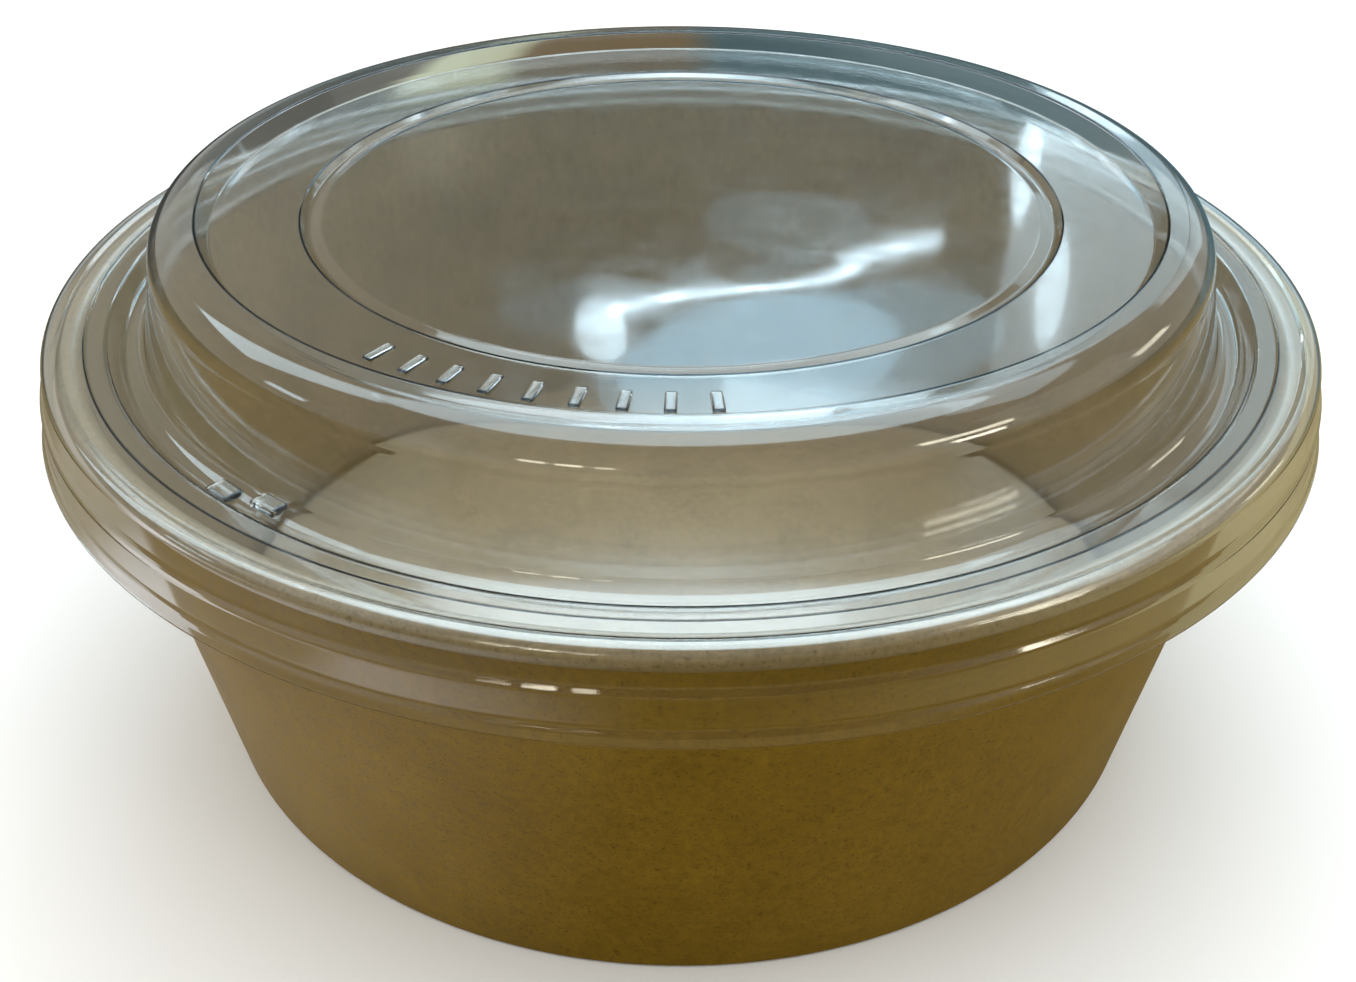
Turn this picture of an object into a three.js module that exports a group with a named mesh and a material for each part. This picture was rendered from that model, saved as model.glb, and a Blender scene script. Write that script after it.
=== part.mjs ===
// Takeaway soup container: a round kraft-paper bowl with a clear thermoformed lid pressed on it.
//
// Units are millimetres and +Z is up. The origin is the centre of the foot, on the surface the bowl
// stands on. Every piece is a sheet turned about the Z axis, so each is one lathe profile: the path
// that the sheet follows, given a thickness to its left or its right.

import * as THREE from 'three';

// Bowl: a slightly conical side wall of board
const BOARD = 0.5;
const FOOT_RADIUS = 63.9;
const WALL_SLOPE = 0.1844;
const RIM_TOP = 56.6;
const ROLL_RADIUS = 1.4;
const ROLL_TURN = 285;
const ROLL_STEPS = 9;

// Foot: the wall's lower edge is folded inwards and up, and grips the skirt of the floor disc
const GAP = 0.3;
const HEM_HEIGHT = 5.0;
const FOLD_BEVEL = 0.35;
const FLOOR_TOP = 6.2;
const FLOOR_SKIRT_BOTTOM = 1.0;
const FLOOR_CORNER = 0.5;
const FLOOR_FLARE = 0.25;

// Lid: clear sheet, with its heights measured from the top of the flange
const SHEET = 0.4;
const FLANGE_TOP = 57.6;
const DISC_RADIUS = 44.75;
const DISC_HEIGHT = 9.75;
const RING_INNER_RADIUS = 47.4;
const RING_OUTER_RADIUS = 57.4;
const RING_HEIGHT = 10.3;
const BEAD_INNER_RADIUS = 58.6;
const BEAD_INNER_HEIGHT = 11.9;
const BEAD_TOP_RADIUS = 60.5;
const BEAD_HEIGHT = 12.7;
const SHOULDER_RADIUS = 64.7;
const SHOULDER_HEIGHT = 7.8;
const SHOULDER_STEPS = 5;
const GROOVE_INNER_RADIUS = 66.7;
const GROOVE_OUTER_RADIUS = 69.3;
const GROOVE_DEPTH = 2.5;
const GROOVE_BEVEL = 0.5;
const FLANGE_INNER_RADIUS = 70.8;
const FLANGE_STEP_RADII = [73.0, 75.9];
const FLANGE_STEP = 0.25;
const EDGE_RADIUS = 78.0;
const EDGE_ROUNDING = 0.8;
const EDGE_STEPS = 3;
const SKIRT_BULGE_RADIUS = 79.4;
const SKIRT_BULGE_DROP = 4.8;
const SKIRT_RADIUS = 79.3;
const SKIRT_DROP = 8.8;
const LIP_RADIUS = 79.8;
const LIP_DROP = 10.0;

// Roundness of every turned piece
const SEGMENTS = 64;

const at = (radius, height) => new THREE.Vector2(radius, height);
const degrees = THREE.MathUtils.degToRad;

// Moves a path sideways by a distance, to the right of its travel, with mitred bends.
function shiftPath(path, distance) {
  const normals = [];
  for (let i = 0; i + 1 < path.length; i += 1) {
    const along = path[i + 1].clone().sub(path[i]).normalize();
    normals.push(at(along.y, -along.x));
  }
  return path.map((point, i) => {
    const before = normals[Math.max(i - 1, 0)];
    const after = normals[Math.min(i, normals.length - 1)];
    const mitre = before.clone().add(after).divideScalar(1 + before.dot(after));
    return point.clone().addScaledVector(mitre, distance);
  });
}

// Turns a sheet about the Z axis. The sheet is as thick as left and right say, on those sides of
// its path, and a path that starts on the axis makes a closed disc.
function turnSheet(path, left, right) {
  const under = shiftPath(path, right);
  const over = shiftPath(path, -left).reverse();
  const profile = [...under, ...over];
  if (path[0].x > 0) {
    profile.push(profile[0].clone());
  }
  const geometry = new THREE.LatheGeometry(profile, SEGMENTS);
  geometry.rotateX(Math.PI / 2);
  return geometry;
}

// Points of an elliptical arc from one angle to another, both ends included.
function arc(centre, radiusX, radiusY, from, to, steps) {
  const points = [];
  for (let i = 0; i <= steps; i += 1) {
    const angle = degrees(from + ((to - from) * i) / steps);
    points.push(at(centre.x + radiusX * Math.cos(angle), centre.y + radiusY * Math.sin(angle)));
  }
  return points;
}

// Radius of the middle of the board in the side wall, at a height.
const wallRadius = (height) => FOOT_RADIUS + WALL_SLOPE * height - BOARD / 2;

// Side wall: hem, fold, cone and the rolled rim, followed along the middle of the board.
function bowlWall() {
  const half = BOARD / 2;
  const hemRadius = FOOT_RADIUS - 2 * (BOARD + GAP) - half;
  const rollHeight = RIM_TOP - half - ROLL_RADIUS;
  const rollCentre = at(wallRadius(rollHeight) + ROLL_RADIUS, rollHeight);
  const path = [
    at(hemRadius, HEM_HEIGHT),
    at(hemRadius, half + FOLD_BEVEL),
    at(hemRadius + FOLD_BEVEL, half),
    at(wallRadius(half) - FOLD_BEVEL, half),
    at(wallRadius(half + FOLD_BEVEL), half + FOLD_BEVEL),
    ...arc(rollCentre, ROLL_RADIUS, ROLL_RADIUS, 180, 180 - ROLL_TURN, ROLL_STEPS),
  ];
  return turnSheet(path, half, half);
}

// Floor: a flat disc whose edge is turned down into the folded foot.
function bowlFloor() {
  const skirtRadius = FOOT_RADIUS - BOARD - GAP;
  const path = [
    at(0, FLOOR_TOP),
    at(skirtRadius - FLOOR_CORNER, FLOOR_TOP),
    at(skirtRadius + FLOOR_FLARE, FLOOR_TOP - FLOOR_CORNER),
    at(skirtRadius, FLOOR_SKIRT_BOTTOM),
  ];
  return turnSheet(path, 0, BOARD);
}

// Lid: centre disc, flat ring, shoulder bead, dome wall, groove, flange and skirt.
function lid() {
  const shoulderCentre = at(BEAD_TOP_RADIUS, SHOULDER_HEIGHT);
  const shoulderWidth = SHOULDER_RADIUS - BEAD_TOP_RADIUS;
  const shoulderRise = BEAD_HEIGHT - SHOULDER_HEIGHT;
  const edgeCentre = at(EDGE_RADIUS - EDGE_ROUNDING, -EDGE_ROUNDING);
  const flangeFloor = -FLANGE_STEP * FLANGE_STEP_RADII.length;
  const flangeSteps = FLANGE_STEP_RADII.flatMap((radius, i) => [
    at(radius, flangeFloor + FLANGE_STEP * i),
    at(radius + FLANGE_STEP, flangeFloor + FLANGE_STEP * (i + 1)),
  ]);
  const path = [
    at(0, DISC_HEIGHT),
    at(DISC_RADIUS, DISC_HEIGHT),
    at(RING_INNER_RADIUS, RING_HEIGHT),
    at(RING_OUTER_RADIUS, RING_HEIGHT),
    at(BEAD_INNER_RADIUS, BEAD_INNER_HEIGHT),
    ...arc(shoulderCentre, shoulderWidth, shoulderRise, 90, 0, SHOULDER_STEPS),
    at(GROOVE_INNER_RADIUS, GROOVE_BEVEL - GROOVE_DEPTH),
    at(GROOVE_INNER_RADIUS + GROOVE_BEVEL, -GROOVE_DEPTH),
    at(GROOVE_OUTER_RADIUS - GROOVE_BEVEL, -GROOVE_DEPTH),
    at(GROOVE_OUTER_RADIUS, GROOVE_BEVEL - GROOVE_DEPTH),
    at(FLANGE_INNER_RADIUS, flangeFloor),
    ...flangeSteps,
    ...arc(edgeCentre, EDGE_ROUNDING, EDGE_ROUNDING, 90, 0, EDGE_STEPS),
    at(SKIRT_BULGE_RADIUS, -SKIRT_BULGE_DROP),
    at(SKIRT_RADIUS, -SKIRT_DROP),
    at(LIP_RADIUS, -LIP_DROP),
  ];
  const geometry = turnSheet(path, 0, SHEET);
  geometry.translate(0, 0, FLANGE_TOP);
  return geometry;
}

const kraftOutside = new THREE.MeshStandardMaterial({ color: 0x6a5220, roughness: 0.85, metalness: 0 });
const kraftInside = new THREE.MeshStandardMaterial({ color: 0x8b7655, roughness: 0.7, metalness: 0 });
const clearSheet = new THREE.MeshStandardMaterial({
  color: 0xc9d3d4,
  roughness: 0.08,
  metalness: 0,
  transparent: true,
  opacity: 0.35,
});

const group = new THREE.Group();
const pieces = [
  ['bowl_wall', bowlWall(), kraftOutside],
  ['bowl_floor', bowlFloor(), kraftInside],
  ['lid', lid(), clearSheet],
];
for (const [name, geometry, material] of pieces) {
  const mesh = new THREE.Mesh(geometry, material);
  mesh.name = name;
  group.add(mesh);
}

export default group;
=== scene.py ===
# %% [markdown]
# # A takeaway soup container
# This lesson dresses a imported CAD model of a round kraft-paper bowl with a clear lid pressed on it.
# The real bowl is wound from one blank of coated board, its rim rolled outwards and its foot folded
# round a separate floor disc. The real lid is one thin sheet of clear plastic, sucked down on a
# mould, so that every ridge of it is the same sheet bent another way. All of these are turned
# shapes, so each one is modelled as a profile line that is spun about the upright axis.

import math

import bmesh
import bpy
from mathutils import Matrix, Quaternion, Vector


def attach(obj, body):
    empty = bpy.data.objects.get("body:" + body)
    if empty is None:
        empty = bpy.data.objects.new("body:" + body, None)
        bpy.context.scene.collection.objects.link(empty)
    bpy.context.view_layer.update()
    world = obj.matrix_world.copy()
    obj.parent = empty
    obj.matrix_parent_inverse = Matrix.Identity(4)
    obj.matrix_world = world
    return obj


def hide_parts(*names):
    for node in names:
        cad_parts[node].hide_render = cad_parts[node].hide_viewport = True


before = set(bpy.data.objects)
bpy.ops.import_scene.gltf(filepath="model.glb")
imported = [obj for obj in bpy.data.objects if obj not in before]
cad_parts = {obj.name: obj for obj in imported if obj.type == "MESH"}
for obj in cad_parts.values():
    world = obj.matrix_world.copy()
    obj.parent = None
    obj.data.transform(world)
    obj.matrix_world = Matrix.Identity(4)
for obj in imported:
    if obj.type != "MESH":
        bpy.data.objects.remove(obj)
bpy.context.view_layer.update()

# %% [markdown]
# ## Camera
# A photograph of a round thing gives its camera away: each ring is seen as an ellipse, and the
# ellipses of several rings together fix the height, the distance and the focal length. The camera
# is a little under 15 cm above the table and looks down at about 33 degrees.

# %% Place the camera
CAMERA_PLACE = (0.0, -0.18829, 0.14586)
CAMERA_PITCH = math.radians(56.99)
CAMERA_ROLL = math.radians(0.224)
CAMERA_TURN = math.radians(0.082)
SENSOR_WIDTH = 36
LENS = 42.63
NEAREST_SEEN = 0.01

bpy.ops.object.select_all(action="DESELECT")
bpy.ops.object.camera_add(location=CAMERA_PLACE)
camera = bpy.context.object
camera.name = "camera"
camera.rotation_mode = "QUATERNION"
turn = Quaternion((0, 0, 1), CAMERA_TURN)
pitch = Quaternion((1, 0, 0), CAMERA_PITCH)
roll = Quaternion((0, 0, 1), CAMERA_ROLL)
camera.rotation_quaternion = turn @ pitch @ roll
camera.data.sensor_width = SENSOR_WIDTH
camera.data.lens = LENS
camera.data.clip_start = NEAREST_SEEN
bpy.context.scene.camera = camera
print("camera at", CAMERA_PLACE, "lens", camera.data.lens)

# %% [markdown]
# ## Tools for shader nodes
# The table, the room and the finishes are built from the same few nodes: a noise, a map from one
# range of values to another, a ramp of colours, and a mix of two colours or of two shaders. Each has
# a function here, so that a finish reads as a recipe further down.

# %% Tools for shader nodes
def feed(tree, value, socket):
    """Sets a socket to a plain value, or links it to the output of another node."""
    if isinstance(value, bpy.types.NodeSocket):
        tree.links.new(value, socket)
    else:
        socket.default_value = value


def noise(tree, place, scale, detail, roughness):
    """The grey output of a Noise Texture at a place."""
    texture = tree.nodes.new("ShaderNodeTexNoise")
    texture.inputs["Scale"].default_value = scale
    texture.inputs["Detail"].default_value = detail
    texture.inputs["Roughness"].default_value = roughness
    tree.links.new(place, texture.inputs["Vector"])
    return texture.outputs["Fac"]


def map_range(tree, source, begins, full, interpolation="LINEAR"):
    """Turns the stretch of the source between two values into 0 to 1."""
    share = tree.nodes.new("ShaderNodeMapRange")
    share.interpolation_type = interpolation
    share.inputs["From Min"].default_value = begins
    share.inputs["From Max"].default_value = full
    tree.links.new(source, share.inputs["Value"])
    return share.outputs["Result"]


def ramp(tree, source, stops):
    """A Color Ramp over (position, colour) stops, with positions from 0 to 1."""
    band = tree.nodes.new("ShaderNodeValToRGB")
    elements = band.color_ramp.elements
    for i, (position, colour) in enumerate(stops):
        element = elements[i] if i < 2 else elements.new(position)
        element.position = position
        element.color = (*colour, 1)
    tree.links.new(source, band.inputs["Fac"])
    return band.outputs["Color"]


def mix_colours(tree, share, under, over, kind="MIX"):
    """Mixes a share of one colour over another."""
    mix = tree.nodes.new("ShaderNodeMix")
    mix.data_type = "RGBA"
    mix.blend_type = kind
    feed(tree, share, mix.inputs["Factor"])
    feed(tree, under, mix.inputs["A"])
    feed(tree, over, mix.inputs["B"])
    return mix.outputs["Result"]


def mix_shaders(tree, share, first, second):
    """Mixes two shaders, and links the result to the material's surface."""
    mix = tree.nodes.new("ShaderNodeMixShader")
    tree.links.new(share, mix.inputs["Fac"])
    tree.links.new(first, mix.inputs[1])
    tree.links.new(second, mix.inputs[2])
    tree.links.new(mix.outputs["Shader"], tree.nodes["Material Output"].inputs["Surface"])


print("shader tools ready")

# %% [markdown]
# ## Table
# The container stands on a plain pale table, lit from above. A clear lid and coated board mirror
# what is round them, and a white table would wash out the kraft. So the table is pale to the
# camera alone. Rays that have already met the object find a brown one, which gives the board less
# light from below as painted shade. Its stripes are painted reflections: a pale one on the left,
# close to the bowl, paints a sheen on the board's left side, and dark and pale ones behind it paint
# patches seen through the lid's far side. It is laid out in zones along its Y axis, each with stripes
# along its X axis, and a Light Path node chooses between the pale table and the brown one.

# %% Lay the table
TABLE_SIZE = 8.0
TABLE_PALE = (0.96, 0.96, 0.96, 1)
TABLE_FAR_FRONT = (0.30, 0.24, 0.14, 1)
TABLE_BROWN = (0.16, 0.11, 0.035)
TABLE_DEEP_BROWN = (0.10, 0.07, 0.02)
TABLE_TAN = (0.34, 0.28, 0.15)

# Stripes of a zone, each an X in metres and the colour there; the stripes are painted reflections
STRIPES_FRONT = [(-0.2, TABLE_DEEP_BROWN), (0.2, TABLE_DEEP_BROWN)]
STRIPES_NEAR = [
    (-0.30, TABLE_BROWN),
    (-0.18, (0.20, 0.14, 0.06)),
    (-0.104, (0.26, 0.21, 0.13)),
    # Painted sheen: these pale stripes are mirrored on the board's left side
    (-0.091, (0.78, 0.74, 0.74)),
    (-0.05, (0.70, 0.66, 0.62)),
    (-0.01, TABLE_BROWN),
    (0.06, TABLE_TAN),
    (0.12, TABLE_TAN),
    (0.30, TABLE_BROWN),
]
STRIPES_BESIDE = [
    (-0.30, TABLE_BROWN),
    (-0.135, (0.24, 0.19, 0.11)),
    (-0.11, (0.34, 0.30, 0.24)),
    (-0.07, (0.30, 0.26, 0.19)),
    (-0.01, TABLE_BROWN),
    (0.06, TABLE_TAN),
    (0.12, TABLE_TAN),
    (0.30, TABLE_BROWN),
]
# Painted reflections: dark and pale patches seen through the lid's far side
STRIPES_BEHIND = [
    (-0.10, (0.05, 0.05, 0.045)),
    (-0.08, (0.07, 0.07, 0.06)),
    (-0.072, (0.44, 0.46, 0.34)),
    (-0.052, (0.40, 0.40, 0.28)),
    (-0.045, (0.13, 0.09, 0.05)),
    (0.0, (0.12, 0.08, 0.04)),
    (0.012, (0.03, 0.07, 0.085)),
    (0.10, (0.07, 0.12, 0.14)),
]

# Zones from the front to the back, each with the Y in metres where it begins and where it is full
MIRRORED_TABLE_ZONES = [
    (-0.32, -0.24, STRIPES_FRONT),
    (-0.16, -0.12, STRIPES_NEAR),
    (0.008, 0.026, STRIPES_BESIDE),
    (0.14, 0.18, STRIPES_BEHIND),
]


def stripes(tree, across, stops):
    """A Color Ramp over (X in metres, colour) stops."""
    first, last = stops[0][0], stops[-1][0]
    shares = [((x - first) / (last - first), colour) for x, colour in stops]
    return ramp(tree, map_range(tree, across, first, last), shares)


bpy.ops.object.select_all(action="DESELECT")
bpy.ops.mesh.primitive_plane_add(size=TABLE_SIZE)
table_top = bpy.context.object
table_top.name = "table_top"
pale = bpy.data.materials.new("pale_table")
pale.use_nodes = True
table_tree = pale.node_tree
table_tree.nodes.remove(table_tree.nodes["Principled BSDF"])
table_place = table_tree.nodes.new("ShaderNodeTexCoord")
table_axes = table_tree.nodes.new("ShaderNodeSeparateXYZ")
table_tree.links.new(table_place.outputs["Object"], table_axes.inputs["Vector"])
across = table_axes.outputs["X"]
away = table_axes.outputs["Y"]

# The mirrored side's colour: painted reflections, and painted shade under the bowl
mirrored_table_colour = TABLE_FAR_FRONT
for begins, full, stops in MIRRORED_TABLE_ZONES:
    share = map_range(table_tree, away, begins, full)
    mirrored_table_colour = mix_colours(table_tree, share, mirrored_table_colour, stripes(table_tree, across, stops))
seen_side = table_tree.nodes.new("ShaderNodeBsdfDiffuse")
seen_side.inputs["Color"].default_value = TABLE_PALE
mirrored_side = table_tree.nodes.new("ShaderNodeBsdfDiffuse")
table_tree.links.new(mirrored_table_colour, mirrored_side.inputs["Color"])
ray_kind = table_tree.nodes.new("ShaderNodeLightPath")
is_camera_ray = ray_kind.outputs["Is Camera Ray"]
mix_shaders(table_tree, is_camera_ray, mirrored_side.outputs["BSDF"], seen_side.outputs["BSDF"])
table_top.data.materials.append(pale)
print("table", TABLE_SIZE, "m wide, in", len(MIRRORED_TABLE_ZONES) + 1, "zones")

# %% [markdown]
# ## Studio lamps
# A clear lid has almost no colour of its own: what is seen of it is what it mirrors. So the studio
# is laid out by the highlights. Cool panels stand behind the container and over it like a window,
# fainter ones to the right of them, and a few low narrow lamps in front and at the sides draw the
# short dashes on the walls. Each lamp is given by the part of the sky that it fills, as seen from
# the lid. Two are only mirrored, and three soft ones only give light, so that the brightness of
# the board is set without touching the highlights.

# %% Hang the lamps
STUDIO_CENTRE = Vector((0, 0, 0.066))
LAMP_DISTANCE = 1.3
OVERHEAD = math.radians(80)
COOL = (0.68, 0.885, 1.0)
PALE_BLUE = (0.76, 0.91, 1.0)
BLUE = (0.44, 0.77, 1.0)
PLAIN = (1.0, 1.0, 1.0)
WARM = (1.0, 0.93, 0.74)


def panel(name, azimuths, elevations, radiance, colour, lean=0.0, shape="RECTANGLE", serves="both"):
    """A lamp that fills a range of azimuths and elevations in degrees. Azimuth 0 is behind.

    A lamp that leans has its right end lower, by that angle in degrees. One that serves as light
    isn't mirrored, and one that serves as an image gives no light to the board."""
    azimuth = math.radians(sum(azimuths) / 2)
    elevation = math.radians(sum(elevations) / 2)
    flat = math.cos(elevation)
    way = Vector((math.sin(azimuth) * flat, math.cos(azimuth) * flat, math.sin(elevation)))
    bpy.ops.object.light_add(type="AREA", location=STUDIO_CENTRE + way * LAMP_DISTANCE)
    lamp = bpy.context.object
    lamp.name = name
    lamp.rotation_mode = "QUATERNION"
    lamp.rotation_quaternion = way.to_track_quat("Z", "Y") @ Quaternion((0, 0, 1), math.radians(lean))
    wide = 2 * LAMP_DISTANCE * math.tan(math.radians(abs(azimuths[1] - azimuths[0])) / 2)
    if elevation < OVERHEAD:
        wide *= flat
    high = 2 * LAMP_DISTANCE * math.tan(math.radians(abs(elevations[1] - elevations[0])) / 2)
    lamp.data.shape = shape
    lamp.data.size = wide
    lamp.data.size_y = high
    area = wide * high * (math.pi / 4 if shape == "ELLIPSE" else 1)
    lamp.data.energy = math.pi * area * radiance
    lamp.data.color = colour
    lamp.visible_diffuse = serves != "image"
    lamp.visible_glossy = serves != "light"
    lamp.visible_transmission = serves != "light"


panel("window_overhead", (-33, 33), (55, 114), 2.9, COOL, 0, "ELLIPSE", "image")
panel("window_high", (-26, 32), (42, 58), 2.3, COOL)
panel("window_mid", (-13, 8), (31.5, 42), 3.0, PALE_BLUE)
panel("window_mid_right", (8, 26), (31.5, 42), 1.7, COOL)
panel("window_low", (-3, 10.5), (26.6, 31.8), 1.4, BLUE, 12, "ELLIPSE")
panel("window_low_wide", (-4, 15), (26.2, 31.8), 1.0, BLUE, 12, "ELLIPSE")
panel("window_step", (2, 12), (30, 31.8), 2.0, COOL)
panel("window_sill", (-3.4, 11.8), (25.6, 25.9), 15.0, COOL, 14)
panel("window_core", (-4.9, -2.5), (26.7, 29.5), 4.8, COOL, 10, "ELLIPSE")
panel("window_core_glow", (-8.5, -1), (26, 28.2), 0.35, BLUE, 0, "ELLIPSE")
panel("window_glow", (1, 8.5), (22.6, 24.6), 0.3, BLUE, 0, "ELLIPSE")
panel("window_strip", (15.8, 17.1), (23, 27.6), 3.0, COOL, 0, "ELLIPSE")
panel("window_edge", (14.2, 15.2), (19, 23), 3.2, COOL, 0, "ELLIPSE")
panel("window_right", (14.5, 27), (14, 31), 1.05, COOL)
panel("window_far_right", (28, 42), (8, 30), 0.85, COOL)
panel("glint_right", (15, 19.5), (17, 19.6), 2.8, COOL, 0, "ELLIPSE")
panel("window_high_right", (34, 96), (45, 60), 1.4, COOL)
panel("window_left", (-82, -50), (27, 56), 2.8, COOL, 0, "RECTANGLE", "image")
panel("soft_above", (-40, 40), (50, 130), 1.75, PLAIN, 0, "ELLIPSE", "light")
panel("soft_front", (150, 210), (20, 50), 0.7, WARM, 0, "RECTANGLE", "light")
panel("soft_left", (-130, -80), (5, 40), 0.8, PLAIN, 0, "RECTANGLE", "light")
panel("low_front_left", (205, 210), (8.5, 12), 7.0, WARM)
panel("low_front_middle", (198, 203), (8.5, 12), 8.0, WARM)
panel("low_front_near", (192, 195.5), (8.5, 12), 5.0, WARM)
panel("low_front_right", (114, 134), (12, 17), 7.0, WARM)
panel("low_skirt_right", (117, 128), (3.5, 7.5), 12.0, WARM)
panel("low_right", (68, 80), (10, 16), 3.0, WARM)
panel("low_left", (256, 266), (8, 13), 3.6, COOL)
panel("side_right", (75, 115), (5, 35), 0.25, PLAIN)

# %% [markdown]
# ## The room round the studio
# The rest of the room is an even grey. It is darker on the camera's side, and low behind the
# container stands a dark blue-grey wall with a brown patch. The far edge of the lid is seen at a
# flat angle, so it mirrors that wall almost like a metal, and the dark line draws the lid's outline
# against the pale table. The view transform is Standard, so that white stays white.

# %% Fill the room
ROOM_GREY = (0.40, 0.41, 0.39, 1)

# Darker patches: the way to the middle, the cosines of the angles from it where the patch begins
# and where it is full, and its colour
DARK_WALL = ((0.14, 0.97, 0.17), 0.84, 0.95, (0.085, 0.13, 0.14, 1))
BROWN_PATCH = ((-0.07, 0.995, 0.08), 0.985, 0.995, (0.15, 0.11, 0.06, 1))
CAMERA_SIDE = ((0.0, -0.90, 0.44), 0.60, 0.86, (0.11, 0.10, 0.09, 1))

world = bpy.data.worlds.new("studio")
world.use_nodes = True
room_tree = world.node_tree
room_place = room_tree.nodes.new("ShaderNodeTexCoord")
room = ROOM_GREY
for way, begins, full, colour in (DARK_WALL, BROWN_PATCH, CAMERA_SIDE):
    towards = room_tree.nodes.new("ShaderNodeVectorMath")
    towards.operation = "DOT_PRODUCT"
    towards.inputs[1].default_value = way
    room_tree.links.new(room_place.outputs["Generated"], towards.inputs[0])
    share = map_range(room_tree, towards.outputs["Value"], begins, full, "SMOOTHSTEP")
    room = mix_colours(room_tree, share, room, colour)
room_tree.links.new(room, room_tree.nodes["Background"].inputs["Color"])
bpy.context.scene.world = world
bpy.context.scene.view_settings.view_transform = "Standard"
print("room filled")

# %% [markdown]
# ## Light paths
# A ray that goes through the lid crosses four or more faces of the sheet, so it needs many turns as
# a transmitted ray, but light that has scattered on the board more than twice adds little. Fewer
# scattered turns make the render quicker and change nothing that can be seen. Cycles can also sort
# the lamps in a light tree to sample the nearest more often. Here they are all about equally far
# away, so the tree costs time and is switched off.

# %% Limit the light paths
paths = bpy.context.scene.cycles
paths.max_bounces = 9
paths.transmission_bounces = 9
paths.glossy_bounces = 3
paths.diffuse_bounces = 2
paths.caustics_reflective = False
paths.blur_glossy = 0.3
paths.use_light_tree = False
print("light paths of up to", paths.max_bounces, "turns")

# %% [markdown]
# ## A profile, and what is turned from it
# A lathe shape could be had from a Screw modifier or from a stack of cylinders. Here it is made as
# one would by hand in edit mode: a plane is merged to a single point, the point is extruded along
# the profile, corners are rounded with a vertex bevel, and the line is spun through a full turn.
# The seam and the pole are merged afterwards, and the normals are turned outwards.

# %% Tools for turned pieces
MM = 0.001
WELD = 0.000002
SPIN_STEPS = 288


def pick(piece):
    """Makes a piece the only selected one, and the active one."""
    bpy.ops.object.select_all(action="DESELECT")
    piece.select_set(True)
    bpy.context.view_layer.objects.active = piece


def edit_nearest_vertex(piece, spot):
    """Enters edit mode with only the vertex nearest to a spot in millimetres selected."""
    bpy.ops.object.mode_set(mode="EDIT")
    bpy.ops.mesh.select_mode(type="VERT")
    bpy.ops.mesh.select_all(action="DESELECT")
    mesh = bmesh.from_edit_mesh(piece.data)
    target = Vector(spot) * MM
    nearest = min(mesh.verts, key=lambda v: (v.co - target).length)
    nearest.select = True
    bmesh.update_edit_mesh(piece.data)


def draw_profile(name, points):
    """A line of edges through points, each a radius and a height in millimetres."""
    bpy.ops.object.select_all(action="DESELECT")
    bpy.ops.mesh.primitive_plane_add(size=MM)
    piece = bpy.context.object
    piece.name = name
    bpy.ops.object.mode_set(mode="EDIT")
    bpy.ops.mesh.select_mode(type="VERT")
    bpy.ops.mesh.merge(type="CENTER")
    here = Vector((0, 0, 0))
    for i, (radius, height) in enumerate(points):
        there = Vector((radius, 0, height)) * MM
        if i == 0:
            bpy.ops.transform.translate(value=there - here)
        else:
            bpy.ops.mesh.extrude_region_move(TRANSFORM_OT_translate={"value": there - here})
        here = there
    bpy.ops.object.mode_set(mode="OBJECT")
    return piece


def round_corner(piece, corner, length, segments):
    """Rounds the profile's corner at a radius and height, from that length before it to after it."""
    radius, height = corner
    edit_nearest_vertex(piece, (radius, 0, height))
    bpy.ops.mesh.bevel(affect="VERTICES", offset=length * MM, segments=segments)
    bpy.ops.object.mode_set(mode="OBJECT")


def spin_profile(piece, steps=SPIN_STEPS):
    """Spins the whole profile once round the upright axis."""
    bpy.ops.object.mode_set(mode="EDIT")
    bpy.ops.mesh.select_all(action="SELECT")
    bpy.ops.mesh.spin(steps=steps, angle=math.tau, center=(0, 0, 0), axis=(0, 0, 1))
    bpy.ops.mesh.select_all(action="SELECT")
    bpy.ops.mesh.remove_doubles(threshold=WELD)
    bpy.ops.mesh.normals_make_consistent(inside=False)
    bpy.ops.object.mode_set(mode="OBJECT")


def apply_solidify(piece, thickness, offset):
    """Gives the sheet its thickness: offset -1 puts it under the drawn side, 0 in the middle."""
    solid = piece.modifiers.new("sheet", "SOLIDIFY")
    solid.thickness = thickness * MM
    solid.offset = offset
    solid.use_even_offset = True
    bpy.ops.object.modifier_apply(modifier=solid.name)


def smooth(piece, angle):
    """Smooth shading, with the wide faces deciding the normals, so that flats mirror as flats."""
    pick(piece)
    bpy.ops.object.shade_smooth_by_angle(angle=math.radians(angle))
    weighted = piece.modifiers.new("flats", "WEIGHTED_NORMAL")
    weighted.keep_sharp = True
    bpy.ops.object.modifier_apply(modifier=weighted.name)


def report(piece):
    """Prints a piece's size and its number of triangles."""
    triangles = sum(len(p.vertices) - 2 for p in piece.data.polygons)
    size = [round(x / MM, 1) for x in piece.dimensions]
    print(piece.name, "size in mm", size, "triangles", triangles)


# %% [markdown]
# ## Side wall of the bowl
# The wall is one sheet of half-millimetre board. Its upper edge is rolled outwards into a round
# bead that the lid grips, and its lower edge is folded in and up, as a hem that holds the floor.
# The profile runs along the middle of the board, so Solidify adds half of it to either side.

# %% Model the side wall
BOARD = 0.5
FOOT_RADIUS = 63.9
WALL_SLOPE = 0.1844
RIM_TOP = 56.6
ROLL_RADIUS = 1.4
ROLL_TURN = 285
ROLL_STEPS = 18
HEM_RADIUS = 62.05
HEM_HEIGHT = 5.0
HEM_BEND = 0.35
FOOT_BEND = 0.45
BEND_STEPS = 4
WALL_RING_HEIGHTS = (14, 28, 42)
BOARD_SMOOTH_ANGLE = 40


def wall_radius(height):
    """Radius of the middle of the board at a height."""
    return FOOT_RADIUS + WALL_SLOPE * height - BOARD / 2


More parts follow.
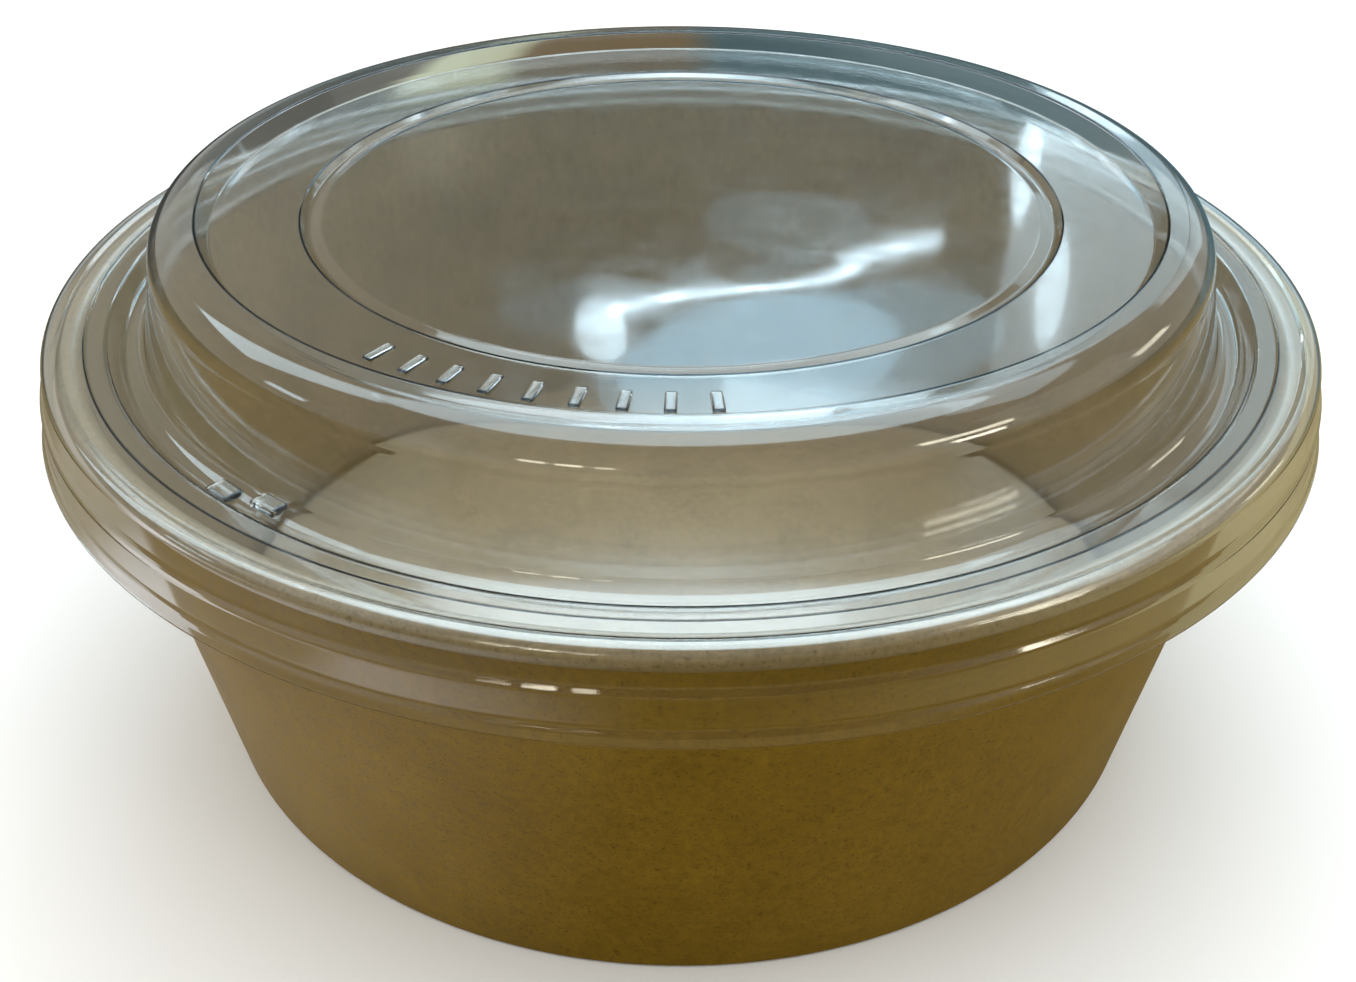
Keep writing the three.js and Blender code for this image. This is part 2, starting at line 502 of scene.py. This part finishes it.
fold_height = BOARD / 2
roll_height = RIM_TOP - BOARD / 2 - ROLL_RADIUS
roll_radius = wall_radius(roll_height) + ROLL_RADIUS
hem_corner = (HEM_RADIUS, fold_height)
foot_corner = (wall_radius(fold_height), fold_height)
wall_path = [(HEM_RADIUS, HEM_HEIGHT), hem_corner, foot_corner]
wall_path += [(wall_radius(height), height) for height in WALL_RING_HEIGHTS]
for i in range(ROLL_STEPS + 1):
    angle = math.radians(180 - ROLL_TURN * i / ROLL_STEPS)
    radius = roll_radius + ROLL_RADIUS * math.cos(angle)
    height = roll_height + ROLL_RADIUS * math.sin(angle)
    wall_path.append((radius, height))
wall = draw_profile("kraft_side_wall", wall_path)
round_corner(wall, hem_corner, HEM_BEND, BEND_STEPS)
round_corner(wall, foot_corner, FOOT_BEND, BEND_STEPS)
spin_profile(wall)
apply_solidify(wall, BOARD, 0)
smooth(wall, BOARD_SMOOTH_ANGLE)
report(wall)

# %% [markdown]
# ## Floor of the bowl
# The floor is a disc with its edge turned down into the folded foot. It is pressed from the same
# board, so it dips by a fraction of a millimetre in the middle, as such discs do.

# %% Model the floor disc
FLOOR_TOP = 6.2
FLOOR_DIP = 0.15
FLOOR_CORNER = (63.3, FLOOR_TOP)
FLOOR_EDGE = (63.15, 1.0)
FLOOR_BEND = 0.6
FLOOR_SPIN_STEPS = 192

# Each a radius and the share of the dip that is left there
FLOOR_RINGS = [(0, 1.0), (15, 1.0), (30, 0.8), (45, 0.3), (56, 0.0)]

floor_path = [(radius, FLOOR_TOP - FLOOR_DIP * share) for radius, share in FLOOR_RINGS]
floor_path += [FLOOR_CORNER, FLOOR_EDGE]
floor_disc = draw_profile("kraft_floor", floor_path)
round_corner(floor_disc, FLOOR_CORNER, FLOOR_BEND, BEND_STEPS)
spin_profile(floor_disc, FLOOR_SPIN_STEPS)
apply_solidify(floor_disc, BOARD, -1)
smooth(floor_disc, BOARD_SMOOTH_ANGLE)
report(floor_disc)

# %% [markdown]
# ## Clear lid
# The lid's sheet is followed along its upper side, from the axis to the lip: a flat centre disc, a
# shallow groove round it, a flat ring a step higher, a rounded shoulder bead, the cone of the dome,
# a groove that sits inside the bowl's rim, the flange over the rim and a skirt that closes round
# it. Heights are measured from the top of the flange. Corners of a thermoformed sheet are always
# soft, so each is rounded.

# %% Model the lid
SHEET = 0.4
FLANGE_TOP = 57.6
DISC_RINGS = range(4, 41, 3)
DISC_HEIGHT = 9.75
DISC_GROOVE_HEIGHT = 9.5
RING_HEIGHT = 10.3
BEAD_CREST = 12.7
GROOVE_HEIGHT = -2.5
SHOULDER_CENTRE = (60.5, 7.8)
SHOULDER_SIZE = (4.2, 4.9)
SHOULDER_STEPS = 14
LIP = (79.8, -10.0)

# Corners before and after the shoulder: the radius, the height, the length that the rounding takes
# from each side of the corner, and the segments of the rounding
CORNERS_INSIDE = [
    (44.3, DISC_HEIGHT, 0.25, 3),
    (45.5, DISC_GROOVE_HEIGHT, 0.12, 2),
    (46.0, DISC_GROOVE_HEIGHT, 0.12, 2),
    (46.7, RING_HEIGHT, 0.14, 3),
    (57.4, RING_HEIGHT, 0.2, 3),
    (58.6, BEAD_CREST, 0.25, 4),
]
CORNERS_OUTSIDE = [
    (66.75, GROOVE_HEIGHT, 1.7, 9),
    (69.3, GROOVE_HEIGHT, 0.6, 4),
    (70.8, -0.5, 0.4, 4),
    (73.0, -0.5, 0.1, 2),
    (73.25, -0.25, 0.1, 2),
    (75.7, -0.25, 0.15, 2),
    (76.4, 0.03, 0.3, 4),
    (78.05, 0.0, 1.25, 10),
    (78.6, -4.0, 0.3, 3),
    (79.05, -4.9, 0.3, 4),
    (79.15, -8.3, 0.25, 3),
    (79.5, -9.0, 0.25, 3),
]

lid_path = [(0, DISC_HEIGHT)]
lid_path += [(radius, DISC_HEIGHT) for radius in DISC_RINGS]
lid_path += [(radius, height) for radius, height, length, segments in CORNERS_INSIDE]
for i in range(SHOULDER_STEPS + 1):
    angle = math.radians(90 - 90 * i / SHOULDER_STEPS)
    radius = SHOULDER_CENTRE[0] + SHOULDER_SIZE[0] * math.cos(angle)
    height = SHOULDER_CENTRE[1] + SHOULDER_SIZE[1] * math.sin(angle)
    lid_path.append((radius, height))
lid_path += [(radius, height) for radius, height, length, segments in CORNERS_OUTSIDE]
lid_path.append(LIP)
lid = draw_profile("clear_lid", [(radius, height + FLANGE_TOP) for radius, height in lid_path])
for radius, height, length, segments in CORNERS_INSIDE + CORNERS_OUTSIDE:
    round_corner(lid, (radius, height + FLANGE_TOP), length, segments)
spin_profile(lid)

# %% [markdown]
# ## Warps in the centre disc
# A wide flat panel of thin sheet never comes off its mould quite flat. Its waves are a fraction of
# a millimetre high and can't be seen themselves, but they bend a mirrored window into curves. Each
# wave is one vertex of the disc that is pulled up or down with proportional editing, before the
# sheet gets its thickness.

# %% Warp the disc and give the sheet its thickness
FLAT_RADIUS = 42
LID_SMOOTH_ANGLE = 50

# Each the X and Y of the middle, the rise and the reach
WARPS = [
    (12, -27, 0.07, 13),
    (14, 3, 0.06, 12),
    (-20, 12, -0.10, 22),
    (-26, -16, 0.08, 14),
]

for x, y, rise, reach in WARPS:
    edit_nearest_vertex(lid, (x, y, FLANGE_TOP + DISC_HEIGHT))
    bpy.ops.transform.translate(
        value=(0, 0, rise * MM),
        use_proportional_edit=True,
        use_proportional_connected=True,
        proportional_edit_falloff="SMOOTH",
        proportional_size=reach * MM,
    )
    bpy.ops.object.mode_set(mode="OBJECT")
flat_part = [v.co for v in lid.data.vertices if math.hypot(v.co.x, v.co.y) < FLAT_RADIUS * MM]
heights = [place.z / MM - FLANGE_TOP for place in flat_part]
print("disc from", round(min(heights), 2), "to", round(max(heights), 2), "mm over the flange")
apply_solidify(lid, SHEET, -1)
smooth(lid, LID_SMOOTH_ANGLE)
report(lid)

# %% [markdown]
# ## Small reliefs on the lid
# The front of the flat ring carries a row of plain raised bars, which catch the light there. Two
# small rounded nubs stand by the groove. Each is a box whose edges are bevelled, modelled once and
# copied round the axis.

# %% Model the bars and the nubs
BAR_SIZE = (3.8, 1.3, 0.5)
BAR_BEVEL = 0.24
BAR_SUNK = 0.16
BAR_RADIUS = 52.6
BAR_ANGLES = range(-126, -82, 5)
NUB_SIZE = (2.6, 3.8, 1.0)
NUB_BEVEL = 0.48
NUB_SUNK = 0.42

# Each a radius, an angle round the axis, and how far the nub is raised from the groove's floor
NUB_SPOTS = [(68.1, -133.7, 0.0), (67.2, -128.2, 0.75)]


def rounded_block(name, size, bevel, segments):
    """A box with rounded edges, its middle at the origin."""
    bpy.ops.object.select_all(action="DESELECT")
    bpy.ops.mesh.primitive_cube_add(size=MM)
    block = bpy.context.object
    block.name = name
    bpy.ops.object.mode_set(mode="EDIT")
    bpy.ops.transform.resize(value=size)
    bpy.ops.mesh.bevel(offset=bevel * MM, segments=segments, affect="EDGES")
    bpy.ops.object.mode_set(mode="OBJECT")
    return block


def place_round(block, spots):
    """Copies a block to each (radius, angle, height) and turns each copy to point outwards."""
    plain = block.data
    parts = bmesh.new()
    for radius, angle, height in spots:
        copy = plain.copy()
        turn = Quaternion((0, 0, 1), math.radians(angle)).to_matrix().to_4x4()
        turn.translation = turn @ Vector((radius, 0, height)) * MM
        copy.transform(turn)
        parts.from_mesh(copy)
        bpy.data.meshes.remove(copy)
    parts.to_mesh(plain)
    parts.free()
    block.data.update()


bars = rounded_block("lid_bars", BAR_SIZE, BAR_BEVEL, 3)
bar_height = FLANGE_TOP + RING_HEIGHT + BAR_SIZE[2] / 2 - BAR_SUNK
place_round(bars, [(BAR_RADIUS, angle, bar_height) for angle in BAR_ANGLES])
smooth(bars, LID_SMOOTH_ANGLE)
report(bars)
nubs = rounded_block("lid_nubs", NUB_SIZE, NUB_BEVEL, 5)
nub_height = FLANGE_TOP + GROOVE_HEIGHT + NUB_SIZE[2] / 2 - NUB_SUNK
place_round(nubs, [(radius, angle, nub_height + rise) for radius, angle, rise in NUB_SPOTS])
smooth(nubs, LID_SMOOTH_ANGLE)
report(nubs)

# %% [markdown]
# ## Kraft board
# Unbleached kraft is brown from the lignin left in its fibres. Seen close it is a felt of short
# fibres, lighter and darker than the mean, over soft cloudy patches. Three noises of different
# scale make the colour, and the one that makes the fibres also makes a shallow bump. The bowl's
# inside has a smooth grease-proof coat. Its browns are lighter and greyer than the outside's: partly
# the coated side's own tone, partly painted light for the bowl's inside. The rim is rolled outwards,
# so the coat is on its outside.

# %% Make the kraft finish
# Scale, detail and roughness of each noise
CLOUDS = (90, 2, 0.55)
FIBRES = (900, 3, 0.7)
SPECKS = (2600, 1, 0.5)

FIBRE_TINTS = [(0.3, (0.80, 0.78, 0.74)), (0.7, (1.14, 1.14, 1.12))]
SPECK_TINTS = [(0.28, (0.70, 0.66, 0.6)), (0.42, (1.0, 1.0, 1.0))]
BOARD_ROUGHNESS = [(0.3, (0.42, 0.42, 0.42)), (0.7, (0.60, 0.60, 0.60))]
BOARD_BUMP = 0.25
BOARD_BUMP_HEIGHT = 0.00008
OUTSIDE_BROWNS = ((0.250, 0.152, 0.006), (0.272, 0.167, 0.008), (0.296, 0.184, 0.011))
# Inside browns: the coated side's own tone, made lighter and greyer with painted light
INSIDE_BROWNS_WITH_PAINTED_LIGHT = ((0.272, 0.207, 0.108), (0.302, 0.230, 0.121), (0.334, 0.254, 0.134))
COAT_REACH = math.radians(110)


def add_bump(tree, shader, height, strength, distance):
    """A shallow relief on a shader, from a grey height."""
    bump = tree.nodes.new("ShaderNodeBump")
    bump.inputs["Strength"].default_value = strength
    bump.inputs["Distance"].default_value = distance
    tree.links.new(height, bump.inputs["Height"])
    tree.links.new(bump.outputs["Normal"], shader.inputs["Normal"])


def kraft(name, browns, coat):
    """A kraft board finish between three browns from dark to light, with a share of clear coat."""
    dark, mid, light = browns
    material = bpy.data.materials.new(name)
    material.use_nodes = True
    tree = material.node_tree
    shader = tree.nodes["Principled BSDF"]
    place = tree.nodes.new("ShaderNodeTexCoord").outputs["Object"]
    clouds = noise(tree, place, *CLOUDS)
    fibres = noise(tree, place, *FIBRES)
    specks = noise(tree, place, *SPECKS)
    body = ramp(tree, clouds, [(0.3, dark), (0.5, mid), (0.7, light)])
    colour = mix_colours(tree, 1.0, body, ramp(tree, fibres, FIBRE_TINTS), "MULTIPLY")
    colour = mix_colours(tree, 1.0, colour, ramp(tree, specks, SPECK_TINTS), "MULTIPLY")
    tree.links.new(colour, shader.inputs["Base Color"])
    tree.links.new(ramp(tree, fibres, BOARD_ROUGHNESS), shader.inputs["Roughness"])
    add_bump(tree, shader, fibres, BOARD_BUMP, BOARD_BUMP_HEIGHT)
    shader.inputs["Specular IOR Level"].default_value = 0.5
    shader.inputs["Coat Weight"].default_value = coat
    shader.inputs["Coat Roughness"].default_value = 0.18
    shader.inputs["Coat IOR"].default_value = 2.1
    shader.inputs["Sheen Weight"].default_value = 0.05
    shader.inputs["Sheen Roughness"].default_value = 0.4
    return material


kraft_outside = kraft("kraft_outside", OUTSIDE_BROWNS, 0.0)
kraft_inside = kraft("kraft_inside", INSIDE_BROWNS_WITH_PAINTED_LIGHT, 1.0)


def coat_inside(piece, is_inside):
    """Puts the coated finish on the faces that is_inside picks by their centre and normal."""
    pick(piece)
    piece.data.materials.append(kraft_outside)
    piece.data.materials.append(kraft_inside)
    bpy.ops.object.mode_set(mode="EDIT")
    bpy.ops.mesh.select_mode(type="FACE")
    bpy.ops.mesh.select_all(action="DESELECT")
    mesh = bmesh.from_edit_mesh(piece.data)
    for face in mesh.faces:
        face.select = is_inside(face.calc_center_median(), face.normal)
    bmesh.update_edit_mesh(piece.data)
    piece.active_material_index = 1
    bpy.ops.object.material_slot_assign()
    bpy.ops.object.mode_set(mode="OBJECT")
    inside = sum(1 for p in piece.data.polygons if p.material_index == 1)
    print(piece.name, inside, "of", len(piece.data.polygons), "faces are coated inside")


def on_wall_inside(centre, normal):
    """The coated side of the board: the bowl's inside, and the outside of the rolled rim."""
    out = math.hypot(centre.x, centre.y) / MM - roll_radius
    up = centre.z / MM - roll_height
    from_roll = math.hypot(out, up)
    if ROLL_RADIUS < from_roll < ROLL_RADIUS + BOARD and math.atan2(up, out) > -COAT_REACH:
        return True
    faces_axis = normal.x * centre.x + normal.y * centre.y < 0
    return faces_axis and FLOOR_TOP * MM < centre.z < roll_height * MM


def on_floor_inside(centre, normal):
    """The coated side of the floor disc, which faces up."""
    return normal.z > 0.5


coat_inside(wall, on_wall_inside)
coat_inside(floor_disc, on_floor_inside)

# %% [markdown]
# ## Clear sheet
# Thermoformed plastic is glass-clear and glossy, with a faint ripple from the mould. A glass
# shader alone would leave the bowl under it in the dark, because lamps are not sampled through
# glass. So rays that only ask for a lamp, and rays from the board, pass it as if it were open,
# and every other ray sees the real refracting sheet.

# %% Make the clear finish
SHEET_COLOUR = (0.97, 0.98, 0.98, 1)
SHEET_OPENING = (0.93, 0.94, 0.94, 1)
SHEET_IOR = 1.57
SHEET_BUMP = 0.5
SHEET_BUMP_HEIGHT = 0.000025
RIPPLE = (60, 1, 0.4)
HAZE = (220, 1, 0.6)
HAZE_ROUGHNESS = [(0.35, (0.035, 0.035, 0.035)), (0.75, (0.07, 0.07, 0.07))]

clear_sheet = bpy.data.materials.new("clear_sheet")
clear_sheet.use_nodes = True
tree = clear_sheet.node_tree
shader = tree.nodes["Principled BSDF"]
shader.inputs["Base Color"].default_value = SHEET_COLOUR
shader.inputs["Transmission Weight"].default_value = 1.0
shader.inputs["IOR"].default_value = SHEET_IOR
place = tree.nodes.new("ShaderNodeTexCoord").outputs["Object"]
haze = noise(tree, place, *HAZE)
tree.links.new(ramp(tree, haze, HAZE_ROUGHNESS), shader.inputs["Roughness"])
ripple = noise(tree, place, *RIPPLE)
add_bump(tree, shader, ripple, SHEET_BUMP, SHEET_BUMP_HEIGHT)
ray_kind = tree.nodes.new("ShaderNodeLightPath")
passes = tree.nodes.new("ShaderNodeMath")
passes.operation = "MAXIMUM"
tree.links.new(ray_kind.outputs["Is Shadow Ray"], passes.inputs[0])
tree.links.new(ray_kind.outputs["Is Diffuse Ray"], passes.inputs[1])
opening = tree.nodes.new("ShaderNodeBsdfTransparent")
opening.inputs["Color"].default_value = SHEET_OPENING
mix_shaders(tree, passes.outputs[0], shader.outputs["BSDF"], opening.outputs["BSDF"])
for piece in (lid, bars, nubs):
    piece.data.materials.append(clear_sheet)
    print("clear finish on", piece.name)

# %% [markdown]
# ## Hand over
# Every piece rides on the part's one body. The CAD parts that the three large ones stand for are
# hidden.

# %% Ride on the body, and hide the CAD parts
HAND_OVER = [
    (wall, "bowl_wall", "kraft_board"),
    (floor_disc, "bowl_floor", "kraft_board"),
    (lid, "lid", "clear_sheet"),
]
for piece, node, slot in HAND_OVER:
    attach(piece, "root")
    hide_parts(node)
for relief in (bars, nubs):
    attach(relief, "root")
